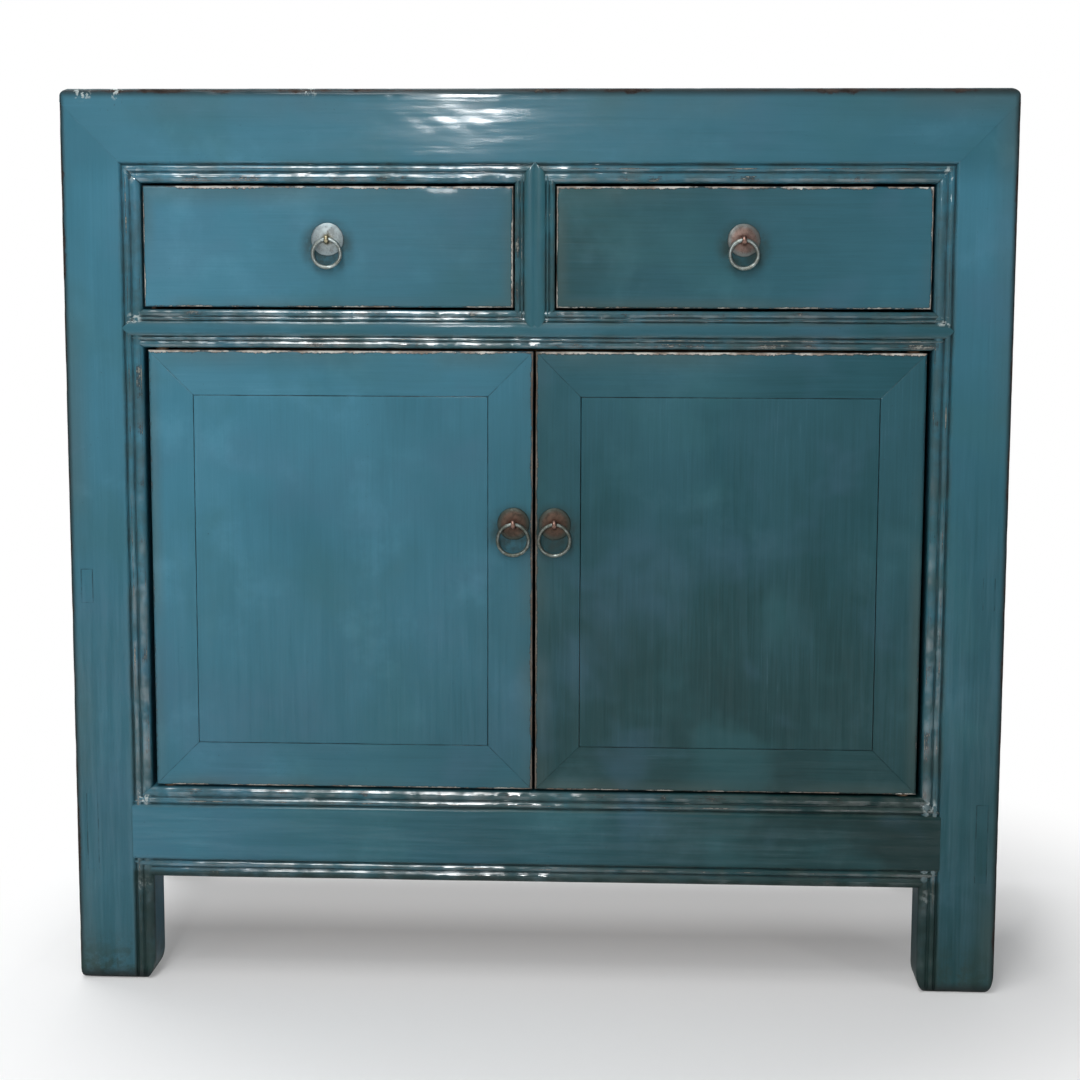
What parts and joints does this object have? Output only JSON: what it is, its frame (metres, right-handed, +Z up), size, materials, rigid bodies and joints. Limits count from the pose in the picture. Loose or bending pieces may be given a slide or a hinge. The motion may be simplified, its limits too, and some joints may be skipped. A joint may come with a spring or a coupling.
{
  "type": "low cabinet",
  "caption": "Low lacquered cabinet with side-by-side drawers over paired doors, a mitred and beaded frame, wooden pivot hinges and ring pulls.",
  "frame": {"origin": "on the floor, midway along the front and midway between the back and the foremost point of the pulls", "axes": "+X along the front to the viewer's right, +Y from front to back, +Z up"},
  "size_m": [0.9, 0.4095, 0.868],
  "materials": {
    "lacquered_wood": "blue-green lacquer, glossy, worn at the edges",
    "bare_wood": "aged, unpainted",
    "drawer_metal": "pale brass, dulled",
    "door_metal": "reddish brass, darkened"
  },
  "bodies": {
    "carcass": {"front_left_leg": "lacquered_wood", "front_right_leg": "lacquered_wood", "rear_left_leg": "lacquered_wood", "rear_right_leg": "lacquered_wood", "top_front_rail": "lacquered_wood", "top_rear_rail": "lacquered_wood", "top_left_rail": "lacquered_wood", "top_right_rail": "lacquered_wood", "top_panel": "lacquered_wood", "front_mid_rail": "lacquered_wood", "drawer_muntin": "lacquered_wood", "front_bottom_rail": "lacquered_wood", "left_bottom_rail": "lacquered_wood", "right_bottom_rail": "lacquered_wood", "left_mid_rail": "lacquered_wood", "right_mid_rail": "lacquered_wood", "left_side_panels": "lacquered_wood", "right_side_panels": "lacquered_wood", "top_battens": "bare_wood", "rear_mid_rail": "bare_wood", "left_runner": "bare_wood", "centre_runner": "bare_wood", "right_runner": "bare_wood", "rear_bottom_rail": "bare_wood", "back_panel": "bare_wood", "bottom_panel": "bare_wood"},
    "left_drawer": {"left_drawer_front": "lacquered_wood", "left_drawer_left_side": "bare_wood", "left_drawer_right_side": "bare_wood", "left_drawer_back": "bare_wood", "left_drawer_bottom": "bare_wood", "left_drawer_backplate": "drawer_metal", "left_drawer_split_pin": "drawer_metal"},
    "left_door": {"left_door_hinge_stile": "lacquered_wood", "left_door_meeting_stile": "lacquered_wood", "left_door_top_rail": "lacquered_wood", "left_door_bottom_rail": "lacquered_wood", "left_door_panel": "lacquered_wood", "left_door_battens": "bare_wood", "left_door_backplate": "door_metal", "left_door_split_pin": "door_metal"},
    "left_drawer_ring": {"left_drawer_ring": "drawer_metal"},
    "left_door_ring": {"left_door_ring": "door_metal"},
    "right_drawer": {"right_drawer_front": "lacquered_wood", "right_drawer_left_side": "bare_wood", "right_drawer_right_side": "bare_wood", "right_drawer_back": "bare_wood", "right_drawer_bottom": "bare_wood", "right_drawer_backplate": "drawer_metal", "right_drawer_split_pin": "drawer_metal"},
    "right_door": {"right_door_hinge_stile": "lacquered_wood", "right_door_meeting_stile": "lacquered_wood", "right_door_top_rail": "lacquered_wood", "right_door_bottom_rail": "lacquered_wood", "right_door_panel": "lacquered_wood", "right_door_battens": "bare_wood", "right_door_backplate": "door_metal", "right_door_split_pin": "door_metal"},
    "right_drawer_ring": {"right_drawer_ring": "drawer_metal"},
    "right_door_ring": {"right_door_ring": "door_metal"}
  },
  "joints": [
    {"name": "left_drawer_slide", "type": "slide", "parent": "carcass", "child": "left_drawer", "axis": [0, -1, 0], "range_m": [0, 0.28]},
    {"name": "left_door_hinge", "type": "hinge", "parent": "carcass", "child": "left_door", "pos_m": [-0.3584, -0.18225, 0.195], "axis": [0, 0, -1], "range_deg": [0, 105]},
    {"name": "left_drawer_ring_hinge", "type": "hinge", "parent": "left_drawer", "child": "left_drawer_ring", "pos_m": [-0.1965, -0.2003, 0.7275], "axis": [-1, 0, 0], "range_deg": [0, 165]},
    {"name": "left_door_ring_hinge", "type": "hinge", "parent": "left_door", "child": "left_door_ring", "pos_m": [-0.01975, -0.2003, 0.458], "axis": [-1, 0, 0], "range_deg": [0, 165]},
    {"name": "right_drawer_slide", "type": "slide", "parent": "carcass", "child": "right_drawer", "axis": [0, -1, 0], "range_m": [0, 0.28]},
    {"name": "right_door_hinge", "type": "hinge", "parent": "carcass", "child": "right_door", "pos_m": [0.3584, -0.18225, 0.195], "axis": [0, 0, 1], "range_deg": [0, 105]},
    {"name": "right_drawer_ring_hinge", "type": "hinge", "parent": "right_drawer", "child": "right_drawer_ring", "pos_m": [0.1965, -0.2003, 0.7275], "axis": [-1, 0, 0], "range_deg": [0, 165]},
    {"name": "right_door_ring_hinge", "type": "hinge", "parent": "right_door", "child": "right_door_ring", "pos_m": [0.01975, -0.2003, 0.458], "axis": [-1, 0, 0], "range_deg": [0, 165]}
  ]
}
